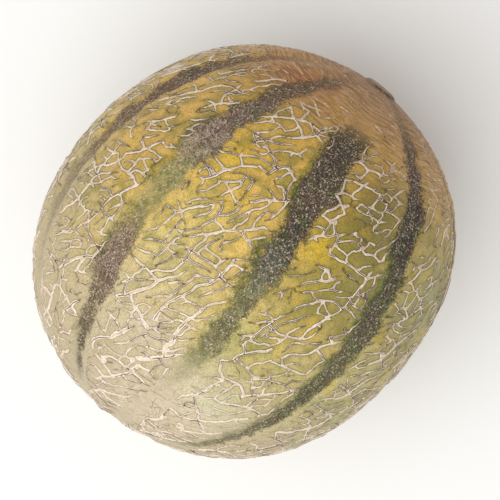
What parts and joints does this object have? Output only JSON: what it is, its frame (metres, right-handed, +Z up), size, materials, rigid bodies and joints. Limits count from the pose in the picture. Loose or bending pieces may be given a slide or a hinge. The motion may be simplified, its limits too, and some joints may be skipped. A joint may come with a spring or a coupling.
{
  "type": "cantaloupe melon",
  "caption": "Whole ripe cantaloupe melon, slightly longer than round, with shallow dark sutures and a raised corky net, lying on its side on a small flat spot.",
  "frame": {"origin": "centre of the bounding box's base, on the surface that the melon lies on", "axes": "+X along the fruit's axis, out of the stem end; +Z up"},
  "size_m": [0.1506, 0.1402, 0.1387],
  "materials": {
    "rind": "dull waxy rind, golden yellow and olive, under a pale corky net"
  },
  "bodies": {
    "root": {"melon": "rind"}
  },
  "joints": []
}
